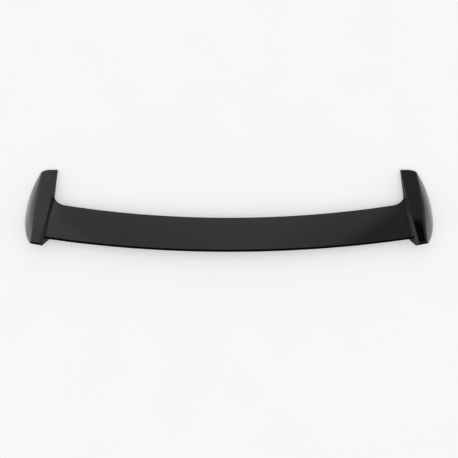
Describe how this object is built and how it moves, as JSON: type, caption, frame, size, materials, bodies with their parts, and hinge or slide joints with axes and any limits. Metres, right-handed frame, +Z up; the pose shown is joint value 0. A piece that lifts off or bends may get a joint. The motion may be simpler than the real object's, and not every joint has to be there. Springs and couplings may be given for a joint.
{
  "type": "rear spoiler",
  "caption": "Moulded rear spoiler: a thin bowed blade between wedge-shaped end fins that are hollow below and bolt down through threaded inserts.",
  "frame": {"origin": "middle of the four fixing bolts, in the plane of the fins' lower rims", "axes": "+X across the car to its right-hand side seen from behind, +Y towards the front of the car, +Z up from the rim plane"},
  "size_m": [1.1992, 0.2935, 0.074],
  "materials": {
    "gloss_black_moulding": "gloss black moulding, polished, faint orange peel",
    "insert_brass": "turned brass"
  },
  "bodies": {
    "root": {"spoiler_body": "gloss_black_moulding", "threaded_inserts": "insert_brass"}
  },
  "joints": []
}
